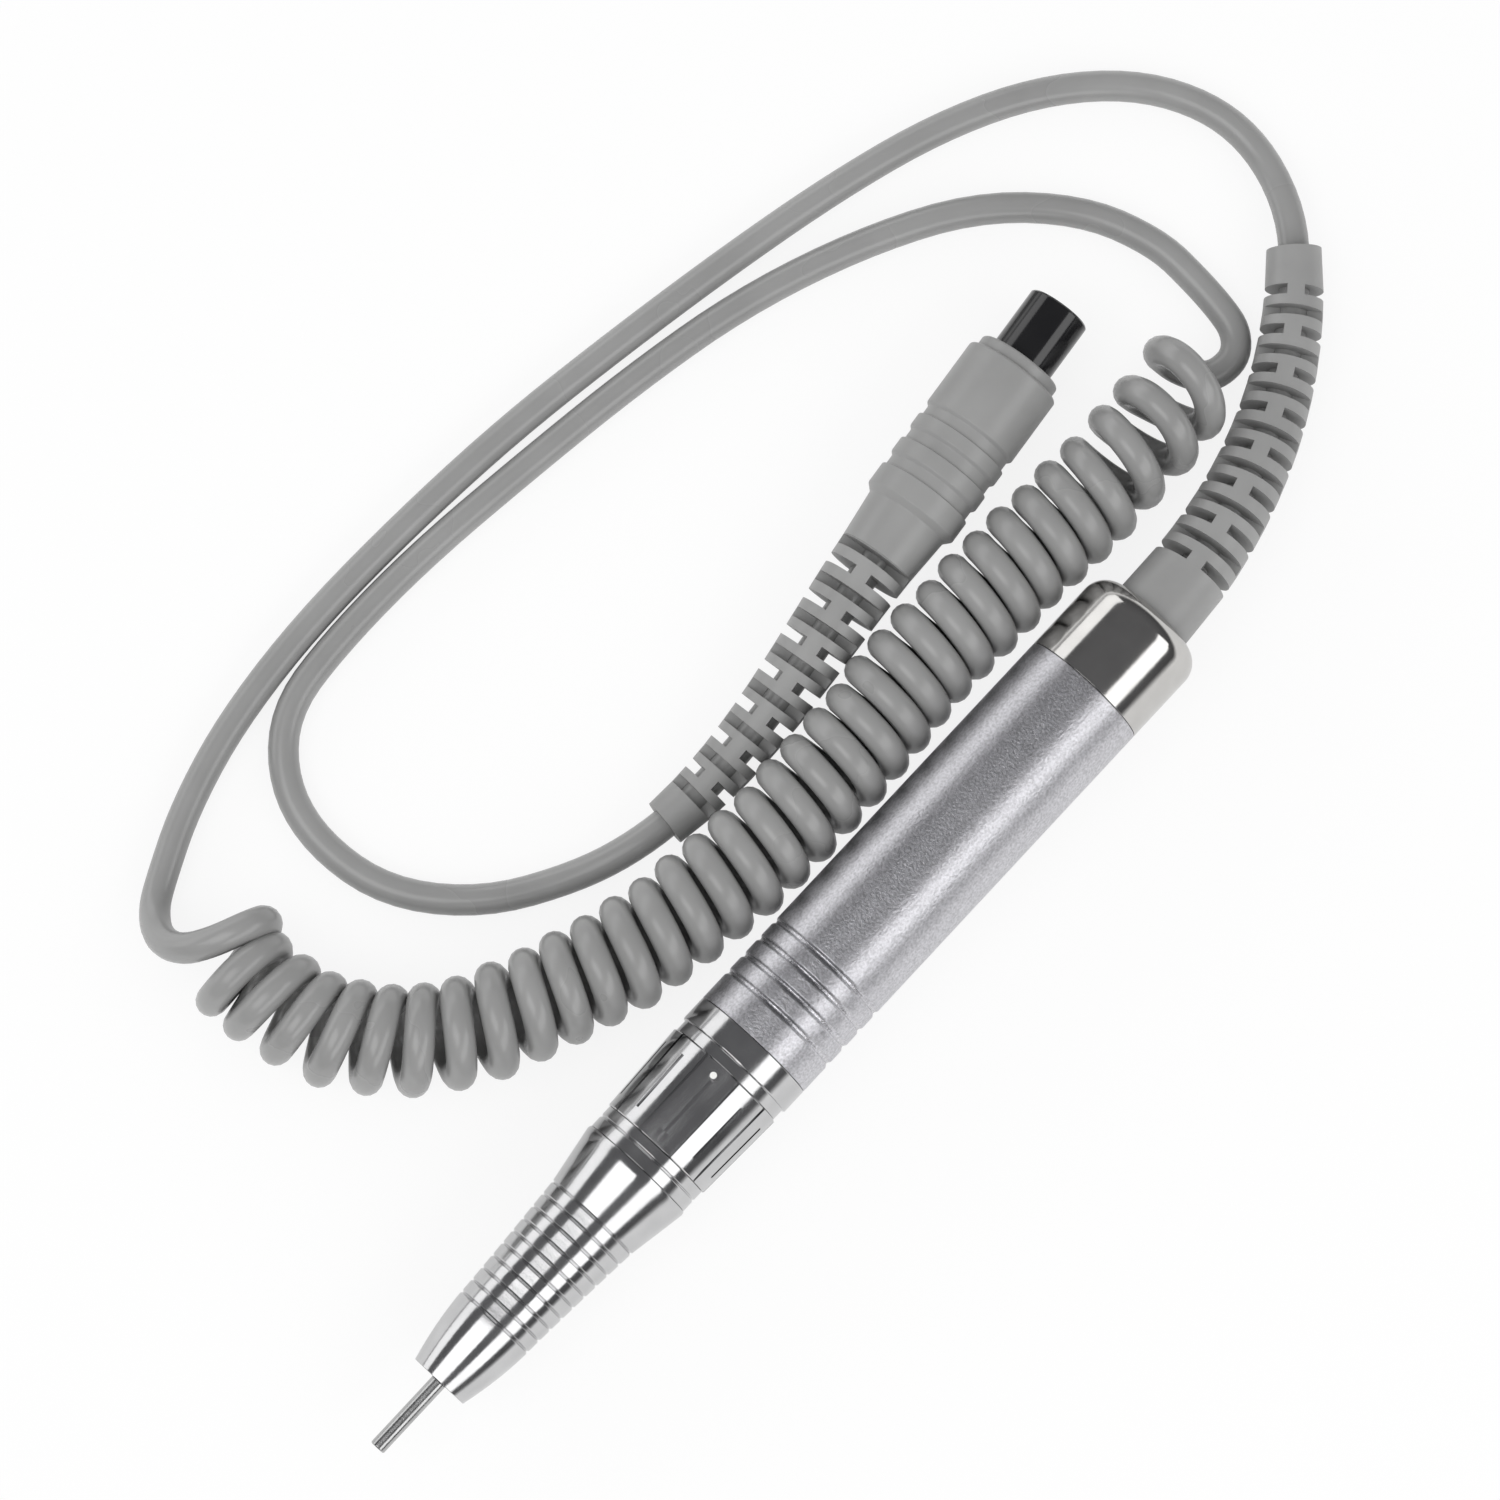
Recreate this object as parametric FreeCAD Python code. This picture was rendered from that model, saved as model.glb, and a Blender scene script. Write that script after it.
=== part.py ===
import FreeCAD, Part
import os
from math import cos, sin, tan, radians, degrees, pi

from FreeCAD import Placement, Rotation, Vector

# Electric nail drill: a handpiece with a twist-lock collet, its curly cord and its plug.
# Millimetres. The handpiece lies along X on the surface z = 0, its nose towards -X.
# Stations (names ending in _X) are measured along the axis from the nose end.

# ---- Handpiece, outside
BODY_R = 9.5
NOSE_R = 4.5                 # radius of the flat nose end
NOSE_MID_R = 5.58            # radius half way along the plain front taper
RIDGE_START_R = 6.2          # radius where the grip ridges start
RIDGE_END_R = 7.4            # radius where they end
CONE_END_R = 8.87
RIDGE_X = 11.2               # station of the first ridge groove
RIDGE_PITCH = 2.167
RIDGE_GROOVES = 10
RIDGE_GROOVE_R = 0.3         # half width, and depth, of a ridge groove
CONE_END_X = 39.9
NECK_R = 8.65
NECK_LINE_X = 41.9
SLEEVE_X = 43.65
SLEEVE_END_X = 57.6
SLEEVE_FRONT_R = 8.9
SLEEVE_REAR_R = 9.4
BAND_STEP_X = 59.4
BAND_STEP_R = 9.1
TUBE_X = 63.35
CAP_X = 130.97
CAP_END_X = 145.1
CAP_CORNER_R = 3.6
TUBE_GROOVE_X = 68.4
TUBE_GROOVE_PITCH = 3.18
TUBE_GROOVES = 4
TUBE_GROOVE_W = 1.1
TUBE_GROOVE_DEPTH = 0.3
FLUTES = 10                  # long grooves round the sleeve, with as many short slots between
FLUTE_W = 0.5
FLUTE_DEPTH = 0.3
FLUTE_TURN = 17.0            # degrees from the top to the first long groove
SHORT_SLOT_X = 45.8
SHORT_SLOT_END_X = 55.3
MARKER_R = 0.5
MARKER_TURN = -3.0

# ---- Fits
RUN_GAP = 0.05               # radial gap of a running fit
SLIDE_GAP = 0.025            # radial gap of the shank in the collet
SEAT_GAP = 0.02              # gap of a fixed seat or a screwed joint
FREE_GAP = 0.4               # radial gap round a turning piece
FACE_GAP = 0.05              # gap between faces that turn past each other
SEAM = 0.05                  # visible seam between two outer pieces

# ---- Spindle, collet and release mechanism
SHANK_R = 1.175
SHANK_OUT = 12.4             # shank length in front of the nose
SHANK_IN = 21.0
SHANK_GRIP_R = 1.17          # radius of the stretch inside the collet
MARK_R = 0.95                # groove that shows how deep the blank has to go
MARK_LEN = 1.4
COLLET_R = 1.8
COLLET_HEAD_R = 2.2
COLLET_X = 0.3
COLLET_CONE_X = 2.6
COLLET_END_X = 24.0
COLLET_SLIT_W = 0.3
COLLET_SLIT_END_X = 13.0
SPINDLE_X = 0.6
SPINDLE_JOURNAL_R = 2.5
SPINDLE_MID_R = 3.2
SPINDLE_END_X = 51.0
FRONT_BEARING_X = 3.0
FRONT_BEARING_R = 4.0
FRONT_BEARING_W = 2.5
REAR_BEARING_X = 34.6
REAR_BEARING_R = 5.5
REAR_BEARING_W = 3.0
BORE_STEP_X = 26.0           # front of the shoulder inside the spindle
BORE_STEP_END_X = 29.0
DRAWBAR_R = 1.15
DRAWBAR_HEAD_X = 41.0
DRAWBAR_END_X = 50.0
SPRING_WASHERS = 10
WASHER_T = 0.3
CROSS_PIN_X = 47.5
CROSS_PIN_R = 0.6
CROSS_PIN_HALF = 3.6
HOUSING_R = 6.7
HOUSING_WALL = 2.0
HOUSING_X = 34.0
HOUSING_SPIGOT_R = 6.4
HOUSING_END_X = 69.0
RING_HALF = 2.2              # half length of the release ring
RING_TRAVEL = 1.2
COLLET_TRAVEL = 0.85
CAM_PIN_R = 0.8
CAM_TURN = 60.0              # degrees the sleeve turns to open the collet
CAM_STEPS = 8
CAM_GAP = 0.15
SLEEVE_LIP = 0.8             # wall left outside the cam groove
DOG_R = 3.4
DOG_W = 2.0
DOG_KEY_W = 1.6
NOSE_HOLLOW_R = 4.4
NOSE_HOLLOW_X = 12.0

# ---- Motor
TUBE_WALL = 1.15
CAN_X = 72.0
CAN_END_X = 108.0
CAN_WALL = 0.6
CAN_GAP = 0.1
MAGNET_T = 1.4
MAGNET_X = 77.0
MAGNET_LEN = 24.0
MAGNET_ARC = 130.0
AIR_GAP = 0.35
BELL_T = 3.0
MOTOR_BEARING_R = 4.0
MOTOR_BEARING_W = 3.0
SHAFT_R = 1.5
SHAFT_X = 55.0
ARMATURE_X = 79.0
ARMATURE_LEN = 20.0
POLES = 3
HUB_R = 2.6
TOOTH_W = 2.2
POLE_CAP_T = 1.0
POLE_SLOT = 1.0              # opening between two pole caps
COMMUTATOR_X = 101.2
COMMUTATOR_LEN = 4.6
COMMUTATOR_R = 2.6
BRUSH_W = 2.2
BRUSH_H = 2.8
BRUSH_LEN = 2.4
END_BELL_T = 3.4
TERMINAL_LEN = 4.5
TERMINAL_Y = 4.5
WIRE_R = 0.6
CLAMP_RING_LEN = 4.0

# ---- Rear cap, cord and strain relief boots
CORD_R = 2.2
CORD_GAP = 0.05
CAP_SPIGOT = 7.0
CAP_BORE_DEPTH = 10.6        # depth of the cap's bore behind the seam
BOOT_NECK_R = 6.05
BOOT_FLANGE_R = 7.2
BOOT_FLANGE_T = 2.4
BOOT_COLLAR = 8.0
BOOT_COLLAR_R = 5.85
BOOT_SLOT_PITCH = 3.1
BOOT_SLOT_W = 1.5
BOOT_SLOTS = 15
BOOT_WEB_W = 2.45
BOOT_TAIL = 6.0
BOOT_TAIL_R = 4.15
BOOT_END_R = 3.9
CORD_TAIL_X = 133.5          # where the cord's sheath ends inside the cap
O_RING_R = 0.5

# ---- Plug, stations from the back of its neck
PLUG_X = 125.25
PLUG_Y = 33.95
PLUG_TURN = 6.84             # degrees between the plug's axis and X
GRIP_R = 7.3
GRIP_RING_R = 7.25
GRIP_GROOVE_R = 6.8
GRIP_NECK_R = 5.75
GRIP_NECK_END_R = 6.3
GRIP_NECK = 7.1
GRIP_FLARE = 1.0
GRIP_GROOVES = [(11.4, 13.1), (15.9, 17.6), (20.1, 21.7)]
GRIP_CHAMFER = 0.5
GRIP_END = 32.7
PLUG_RING_R = 6.38
PLUG_RING_T = 1.8
SHELL_R = 4.7
SHELL_SEAT_R = 4.5           # radius of the shell where the grip holds it
SHELL_WALL = 0.6
SHELL_LEN = 9.4
SHELL_SEAT = 6.0             # length of the shell held inside the grip
INSERT_RECESS = 5.5          # depth of the contact face below the shell's mouth
PIN_CONTACT_R = 0.5
PIN_CIRCLE_R = 2.3
PIN_COUNT = 4
PIN_LEN = 4.5
PLUG_SLOT_PITCH = 2.95
PLUG_TAIL = 4.75
PLUG_TAIL_R = 3.75
PLUG_END_R = 3.5

# ---- Curly cord
COIL_R = 7.95                # outer radius of the coil
BOOT_LIE = 0.18              # height of the boots' tails above the surface
LIE = 0.05                   # the cord's sheath lies this far above the surface

# The object's origin is under the middle of the handpiece, from shank tip to cap end.
ORIGIN_X = (CAP_END_X - SHANK_OUT) / 2
AXIS_Z = BODY_R
CORD_Z = CORD_R + LIE
COIL_Z = COIL_R + LIE

# Routes of the two free leads and of the coil's own axis, in the object's frame.
LEAD_A_ROUTE = [
    (139.8, 35.0, CORD_Z), (139.3, 44.5, CORD_Z), (134.2, 54.5, CORD_Z),
    (124.2, 63.5, CORD_Z), (110.7, 70.2, CORD_Z), (94.7, 74.9, CORD_Z),
    (76.7, 78.7, CORD_Z), (57.7, 82.0, CORD_Z), (37.7, 84.9, CORD_Z),
    (17.7, 86.3, CORD_Z), (-2.3, 86.6, CORD_Z), (-19.3, 84.8, CORD_Z),
    (-32.3, 81.2, CORD_Z), (-41.3, 77.0, CORD_Z), (-45.7, 72.2, CORD_Z),
    (-45.3, 68.2, CORD_Z), (-45.3, 64.5, CORD_Z),
]
COIL_ROUTE = [
    (-44.0, 64.5, COIL_Z), (-44.0, 54.5, COIL_Z), (-41.6, 43.5, COIL_Z),
    (-34.2, 33.7, COIL_Z), (-22.7, 27.2, COIL_Z), (-8.2, 22.0, COIL_Z),
    (6.8, 18.8, COIL_Z), (22.7, 17.7, COIL_Z), (37.7, 18.2, COIL_Z),
    (51.7, 19.3, COIL_Z), (65.7, 19.1, COIL_Z), (79.7, 18.4, COIL_Z),
    (90.7, 17.9, COIL_Z), (98.7, 18.0, COIL_Z), (104.2, 19.0, COIL_Z),
    (109.7, 19.0, COIL_Z),
]
LEAD_B_ROUTE = [
    (109.7, 19.0, CORD_Z), (114.7, 19.0, CORD_Z), (118.9, 21.4, CORD_Z),
    (120.5, 27.2, CORD_Z), (120.7, 35.5, CORD_Z), (116.2, 47.0, CORD_Z),
    (106.2, 58.5, CORD_Z), (91.2, 66.8, CORD_Z), (73.7, 73.2, CORD_Z),
    (55.2, 76.9, CORD_Z), (35.7, 79.5, CORD_Z), (15.7, 81.7, CORD_Z),
    (-1.3, 81.9, CORD_Z), (-12.8, 80.5, CORD_Z), (-20.3, 73.8, CORD_Z),
    (-23.3, 64.5, CORD_Z), (-21.8, 52.5, CORD_Z), (-13.8, 41.6, CORD_Z),
    (-2.3, 34.6, CORD_Z),
]

nodes = {}


# ---------------------------------------------------------------- helpers

def turned(*profile):
    """A solid turned about the axis. Points are (station, radius); ("arc", via, end) is an arc."""
    edges = []
    first = here = profile[0]
    for step in list(profile[1:]) + [first]:
        if step[0] == "arc":
            via, end = step[1], step[2]
            arc = Part.Arc(Vector(*here, 0), Vector(*via, 0), Vector(*end, 0))
            edges.append(arc.toShape())
            here = end
        elif step != here:
            edges.append(Part.LineSegment(Vector(*here, 0), Vector(*step, 0)).toShape())
            here = step
    face = Part.Face(Part.Wire(edges))
    return face.revolve(Vector(0, 0, 0), Vector(1, 0, 0), 360)


def tube(start, end, outer, inner=0.0):
    """A plain ring or rod about the axis between two stations."""
    return turned((start, inner), (start, outer), (end, outer), (end, inner))


def box(low, high):
    """A block between two opposite corners."""
    size = [b - a for a, b in zip(low, high)]
    return Part.makeBox(*size, Vector(*low))


def about_axis(shape, turn):
    """A copy of a shape turned about the axis by an angle in degrees."""
    copy = shape.copy()
    copy.rotate(Vector(0, 0, 0), Vector(1, 0, 0), turn)
    return copy


def radial_rod(station, inner, outer, radius, turn=0.0):
    """A round rod standing out of the axis, at the top for a turn of 0."""
    rod = Part.makeCylinder(radius, outer - inner, Vector(station, 0, inner), Vector(0, 0, 1))
    return about_axis(rod, turn)


def ring_groove(station, radius, half_width):
    """A tool that cuts a V groove round a surface of the given radius."""
    return turned((station - half_width, radius + 0.01), (station, radius - half_width),
                  (station + half_width, radius + 0.01))


def on_handpiece(shape):
    """Move a shape from stations to the object's frame."""
    placed = shape.copy()
    placed.translate(Vector(-ORIGIN_X, 0, AXIS_Z))
    return placed


def keep(name, shape):
    nodes[name] = on_handpiece(shape)


def bearing(name, start, inner_r, outer_r, width, ball_count=7):
    """A deep groove ball bearing: outer ring, inner ring and balls as three nodes."""
    middle = start + width / 2
    pitch_r = (inner_r + outer_r) / 2
    ball_r = 0.3 * (outer_r - inner_r)
    land = 0.55 * ball_r
    race = Part.makeTorus(pitch_r, ball_r + RUN_GAP, Vector(middle, 0, 0), Vector(1, 0, 0))
    outer = tube(start, start + width, outer_r - SEAT_GAP, pitch_r + land).cut(race)
    inner = tube(start, start + width, pitch_r - land, inner_r + SEAT_GAP).cut(race)
    ball = Part.makeSphere(ball_r, Vector(middle, 0, pitch_r))
    balls = [about_axis(ball, 360 * i / ball_count) for i in range(ball_count)]
    keep(name + "_outer_ring", outer)
    keep(name + "_inner_ring", inner)
    keep(name + "_balls", Part.makeCompound(balls))


# ---------------------------------------------------------------- handpiece, front

def ridge_radius(station):
    """Radius of the ridged grip's envelope at a station."""
    share = (station - RIDGE_X) / (RIDGE_PITCH * (RIDGE_GROOVES - 1))
    return RIDGE_START_R + (RIDGE_END_R - RIDGE_START_R) * share ** 1.15 if share > 0 else RIDGE_START_R


def nose_cone():
    """Tapered chrome nose with ridges for the fingers, hollow for the spindle."""
    last_groove = RIDGE_X + RIDGE_PITCH * (RIDGE_GROOVES - 1)
    outline = [(0.0, NOSE_R), ("arc", (RIDGE_X * 0.46, NOSE_MID_R), (RIDGE_X - 0.4, RIDGE_START_R))]
    outline += [(RIDGE_X + RIDGE_PITCH * i, ridge_radius(RIDGE_X + RIDGE_PITCH * i))
                for i in range(RIDGE_GROOVES)]
    outline += [(last_groove + 0.6, RIDGE_END_R + 0.1), (CONE_END_X - 0.5, CONE_END_R),
                (CONE_END_X - SEAM, CONE_END_R - 0.1)]
    journal_room = SPINDLE_JOURNAL_R + FREE_GAP
    middle_room = SPINDLE_MID_R + FREE_GAP
    seat_end = FRONT_BEARING_X + FRONT_BEARING_W
    spigot_r = HOUSING_SPIGOT_R + SEAT_GAP
    outline += [(CONE_END_X - SEAM, spigot_r), (HOUSING_X - FACE_GAP, spigot_r),
                (HOUSING_X - FACE_GAP, NOSE_HOLLOW_R), (NOSE_HOLLOW_X, NOSE_HOLLOW_R),
                (NOSE_HOLLOW_X, middle_room), (seat_end, middle_room),
                (seat_end, FRONT_BEARING_R), (FRONT_BEARING_X, FRONT_BEARING_R),
                (FRONT_BEARING_X, journal_room), (0.0, journal_room)]
    cone = turned(*outline)
    grooves = []
    for i in range(RIDGE_GROOVES):
        station = RIDGE_X + RIDGE_PITCH * i
        grooves.append(ring_groove(station, ridge_radius(station) + 0.02, RIDGE_GROOVE_R))
    keep("nose_cone", cone.cut(grooves))


def spindle():
    """Hollow spindle: a collet taper in front, a shoulder for the spring, slots for the pin."""
    room = COLLET_R + RUN_GAP
    mouth = COLLET_HEAD_R + RUN_GAP
    rear_journal_x = REAR_BEARING_X
    front_journal_end = FRONT_BEARING_X + FRONT_BEARING_W
    body = turned((SPINDLE_X, mouth), (SPINDLE_X, SPINDLE_JOURNAL_R),
                  (front_journal_end, SPINDLE_JOURNAL_R), (front_journal_end, SPINDLE_MID_R),
                  (rear_journal_x, SPINDLE_MID_R), (rear_journal_x, SPINDLE_JOURNAL_R),
                  (SPINDLE_END_X, SPINDLE_JOURNAL_R), (SPINDLE_END_X, room),
                  (BORE_STEP_END_X, room), (BORE_STEP_END_X, DRAWBAR_R + RUN_GAP),
                  (BORE_STEP_X, DRAWBAR_R + RUN_GAP), (BORE_STEP_X, room),
                  (COLLET_CONE_X + 0.1, room))
    half = CROSS_PIN_R + RUN_GAP
    slot = box((CROSS_PIN_X - half - COLLET_TRAVEL - FACE_GAP, -2 * SPINDLE_MID_R, -half),
               (CROSS_PIN_X + half + FACE_GAP, 2 * SPINDLE_MID_R, half))
    keep("spindle", body.cut(slot))


def collet():
    """Three-jaw collet with a taper head, and the drawbar screwed into its tail."""
    bore = SHANK_R + SLIDE_GAP
    sleeve = turned((COLLET_X, bore), (COLLET_X, COLLET_HEAD_R), (SPINDLE_X, COLLET_HEAD_R),
                    (COLLET_CONE_X, COLLET_R), (COLLET_END_X, COLLET_R), (COLLET_END_X, bore))
    slit = box((COLLET_X - 1, -COLLET_SLIT_W / 2, 0),
               (COLLET_SLIT_END_X, COLLET_SLIT_W / 2, 2 * COLLET_HEAD_R))
    keep("collet", sleeve.cut([about_axis(slit, 360 * i / 3) for i in range(3)]))
    keep("bit_blank", turned((-SHANK_OUT, 0), (-SHANK_OUT, SHANK_R - 0.15),
                             (-SHANK_OUT + 0.15, SHANK_R), (0, SHANK_R), (0, MARK_R),
                             (MARK_LEN, MARK_R), (MARK_LEN, SHANK_GRIP_R),
                             (SHANK_IN, SHANK_GRIP_R), (SHANK_IN, 0)))
    screw_in = COLLET_END_X - 1.8
    bar = turned((screw_in, 0), (screw_in, DRAWBAR_R), (DRAWBAR_HEAD_X, DRAWBAR_R),
                 (DRAWBAR_HEAD_X, COLLET_R - SEAT_GAP), (DRAWBAR_END_X, COLLET_R - SEAT_GAP),
                 (DRAWBAR_END_X, 0))
    pin = Part.makeCylinder(CROSS_PIN_R, 2 * CROSS_PIN_HALF,
                            Vector(CROSS_PIN_X, -CROSS_PIN_HALF, 0), Vector(0, 1, 0))
    hole = Part.makeCylinder(CROSS_PIN_R + SEAT_GAP, 2 * CROSS_PIN_HALF,
                             Vector(CROSS_PIN_X, -CROSS_PIN_HALF, 0), Vector(0, 1, 0))
    keep("drawbar", bar.cut(hole))
    keep("cross_pin", pin)


def spring_washers():
    """Stack of dished washers, set back to back, that pulls the collet shut."""
    inner = DRAWBAR_R + RUN_GAP
    outer = COLLET_R - SEAT_GAP
    pitch = (DRAWBAR_HEAD_X - BORE_STEP_END_X) / SPRING_WASHERS
    dish = pitch - WASHER_T - 0.02
    washers = []
    for i in range(SPRING_WASHERS):
        start = BORE_STEP_END_X + 0.01 + pitch * i
        low, high = (0, dish) if i % 2 else (dish, 0)
        washers.append(turned((start + low, inner), (start + high, outer),
                              (start + high + WASHER_T, outer), (start + low + WASHER_T, inner)))
    keep("spring_washers", Part.makeCompound(washers))


def spindle_housing():
    """Bearing housing: its front spigot screws into the nose, its neck shows as a plain band."""
    bore = HOUSING_R - HOUSING_WALL
    seat_end = REAR_BEARING_X + REAR_BEARING_W
    body = turned((HOUSING_X, REAR_BEARING_R), (HOUSING_X, HOUSING_SPIGOT_R),
                  (CONE_END_X, HOUSING_SPIGOT_R), (CONE_END_X, NECK_R),
                  (SLEEVE_X - FACE_GAP, NECK_R), (SLEEVE_X - FACE_GAP, HOUSING_R),
                  (HOUSING_END_X, HOUSING_R), (HOUSING_END_X, bore), (seat_end, bore),
                  (seat_end, REAR_BEARING_R))
    line = ring_groove(NECK_LINE_X, NECK_R, 0.25)
    half = CAM_PIN_R + RUN_GAP
    slot = box((CROSS_PIN_X - half - RING_TRAVEL - FACE_GAP, -half, 0),
               (CROSS_PIN_X + half + FACE_GAP, half, 2 * HOUSING_R))
    body = body.cut([line, slot, about_axis(slot, 180)])
    keep("spindle_housing", body)


def release_ring():
    """Sliding ring that pushes the cross pin forward, with its two cam pins."""
    outer = HOUSING_R - HOUSING_WALL - RUN_GAP
    inner = SPINDLE_JOURNAL_R + RUN_GAP + 0.05
    half_room = CROSS_PIN_R + 0.5
    deep = CROSS_PIN_HALF + 0.3
    front, back = CROSS_PIN_X - RING_HALF, CROSS_PIN_X + RING_HALF
    ring = turned((front, inner), (front, outer), (back, outer), (back, inner),
                  (CROSS_PIN_X + half_room, inner), (CROSS_PIN_X + half_room, deep),
                  (CROSS_PIN_X - half_room, deep), (CROSS_PIN_X - half_room, inner))
    root = deep + 0.1
    tip = cam_groove_r() - CAM_GAP
    pins = [radial_rod(CROSS_PIN_X, root, tip, CAM_PIN_R, turn) for turn in (0, 180)]
    holes = [radial_rod(CROSS_PIN_X, root, tip, CAM_PIN_R + SEAT_GAP, turn) for turn in (0, 180)]
    keep("release_ring", ring.cut(holes))
    keep("cam_pins", Part.makeCompound(pins))


def cam_groove_r():
    """Radius of the floor of the cam groove inside the sleeve."""
    return SLEEVE_FRONT_R - SLEEVE_LIP


def cam_groove(start_turn, inner):
    """A tool that cuts one helical groove, as wide as a cam pin and longer than its travel."""
    half = CAM_PIN_R + CAM_GAP
    end_room = degrees(half / inner)
    sections = []
    for i in range(CAM_STEPS + 1):
        share = i / CAM_STEPS
        turn = end_room - (CAM_TURN + 2 * end_room) * share
        station = CROSS_PIN_X + RING_TRAVEL * turn / CAM_TURN
        corners = [Vector(station + x, 0, r) for x, r in
                   ((-half, inner), (half, inner), (half, cam_groove_r()), (-half, cam_groove_r()))]
        sections.append(about_axis(Part.makePolygon(corners + corners[:1]), start_turn + turn))
    return Part.makeLoft(sections, True, True)


def twist_sleeve():
    """Fluted ring turned by hand; two helical grooves inside it drive the cam pins."""
    front, back = SLEEVE_X, SLEEVE_END_X - FACE_GAP
    bore = HOUSING_R + RUN_GAP
    edge = 0.15
    body = turned((front, bore), (front, SLEEVE_FRONT_R - edge), (front + edge, SLEEVE_FRONT_R),
                  (back - edge, SLEEVE_REAR_R), (back, SLEEVE_REAR_R - edge), (back, bore))
    cuts = []
    depth_r = SLEEVE_FRONT_R - FLUTE_DEPTH
    for i in range(FLUTES):
        turn = FLUTE_TURN + 360 * i / FLUTES
        long_cut = box((front - 1, -FLUTE_W / 2, depth_r + 0.15), (back + 1, FLUTE_W / 2, 2 * BODY_R))
        short_cut = box((SHORT_SLOT_X, -FLUTE_W / 2, depth_r), (SHORT_SLOT_END_X, FLUTE_W / 2, 2 * BODY_R))
        cuts.append(about_axis(long_cut, turn))
        cuts.append(about_axis(short_cut, turn + 180 / FLUTES))
    cuts += [cam_groove(turn, bore - 0.5) for turn in (0, 180)]
    dot_x = SHORT_SLOT_END_X + MARKER_R + 0.1
    dot = radial_rod(dot_x, SLEEVE_REAR_R - 0.7, 2 * BODY_R, MARKER_R, MARKER_TURN)
    cuts.append(dot)
    keep("twist_sleeve", body.cut(cuts))
    dot_top = SLEEVE_FRONT_R + (SLEEVE_REAR_R - SLEEVE_FRONT_R) * (dot_x - front) / (back - front)
    keep("sleeve_marker", radial_rod(dot_x, SLEEVE_REAR_R - 0.7, dot_top, MARKER_R - 0.01, MARKER_TURN))


def front_band():
    """Stepped chrome band whose spigot screws into the body tube."""
    bore = HOUSING_R + SEAT_GAP
    spigot = BODY_R - TUBE_WALL - SEAT_GAP
    edge = 0.15
    spigot_end = TUBE_X + 4.2
    body = turned((SLEEVE_END_X, bore), (SLEEVE_END_X, BAND_STEP_R), (BAND_STEP_X, BAND_STEP_R),
                  (BAND_STEP_X, BODY_R - edge), (BAND_STEP_X + edge, BODY_R),
                  (TUBE_X - SEAM, BODY_R), (TUBE_X - SEAM, spigot), (spigot_end, spigot),
                  (spigot_end, bore))
    keep("front_band", body)


def dogs():
    """Tongue and slot coupling between the motor shaft and the spindle."""
    front = SPINDLE_END_X
    slot_disc = tube(front, front + DOG_W, DOG_R)
    key_room = box((front + DOG_W / 2, -2 * DOG_R, -DOG_KEY_W / 2 - RUN_GAP),
                   (front + 2 * DOG_W, 2 * DOG_R, DOG_KEY_W / 2 + RUN_GAP))
    keep("spindle_dog", slot_disc.cut(key_room))
    face = front + DOG_W + 0.3
    tongue = box((front + DOG_W / 2 + 0.2, -DOG_R + 0.2, -DOG_KEY_W / 2),
                 (face + 0.1, DOG_R - 0.2, DOG_KEY_W / 2))
    bore = SHAFT_R + SEAT_GAP
    key_disc = tube(face, face + DOG_W + 3, DOG_R).fuse(tongue).removeSplitter()
    keep("motor_dog", key_disc.cut(tube(SHAFT_X, face + DOG_W + 4, bore)))


# ---------------------------------------------------------------- body and motor

def body_tube():
    """Long satin tube with four narrow polished grooves near its front."""
    bore = BODY_R - TUBE_WALL
    body = tube(TUBE_X, CAP_X - SEAM, BODY_R, bore)
    half = TUBE_GROOVE_W / 2
    cuts = []
    for i in range(TUBE_GROOVES):
        station = TUBE_GROOVE_X + TUBE_GROOVE_PITCH * i
        cuts.append(turned((station - half, BODY_R + 0.01), (station - 0.15, BODY_R - TUBE_GROOVE_DEPTH),
                           (station + 0.15, BODY_R - TUBE_GROOVE_DEPTH), (station + half, BODY_R + 0.01)))
    keep("body_tube", body.cut(cuts))


def can_radius():
    return BODY_R - TUBE_WALL - CAN_GAP


def motor_stator():
    """Steel can with its front bell, two arc magnets and the front bearing."""
    outer = can_radius()
    inner = outer - CAN_WALL
    bell_end = CAN_X + BELL_T
    boss = MOTOR_BEARING_R + 1.2
    boss_end = CAN_X + MOTOR_BEARING_W + 0.4
    can = turned((CAN_X, SHAFT_R + FREE_GAP), (CAN_X, outer), (CAN_END_X, outer), (CAN_END_X, inner),
                 (CAN_X + 1.0, inner), (CAN_X + 1.0, boss), (boss_end, boss),
                 (boss_end, MOTOR_BEARING_R), (CAN_X + 0.4, MOTOR_BEARING_R),
                 (CAN_X + 0.4, SHAFT_R + FREE_GAP))
    keep("motor_can", can)
    bearing("motor_front_bearing", CAN_X + 0.4, SHAFT_R, MOTOR_BEARING_R, MOTOR_BEARING_W)
    ring = tube(MAGNET_X, MAGNET_X + MAGNET_LEN, inner - SEAT_GAP, inner - MAGNET_T)
    gap = (180 - MAGNET_ARC) / 2
    half = box((MAGNET_X - 1, -2 * BODY_R, 0), (MAGNET_X + MAGNET_LEN + 1, 2 * BODY_R, 2 * BODY_R))
    magnets = []
    for turn in (0, 180):
        low = about_axis(half, turn + gap)
        high = about_axis(half, turn - gap)
        magnets.append(ring.common(low).common(high))
    keep("motor_magnets", Part.makeCompound(magnets))


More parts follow.
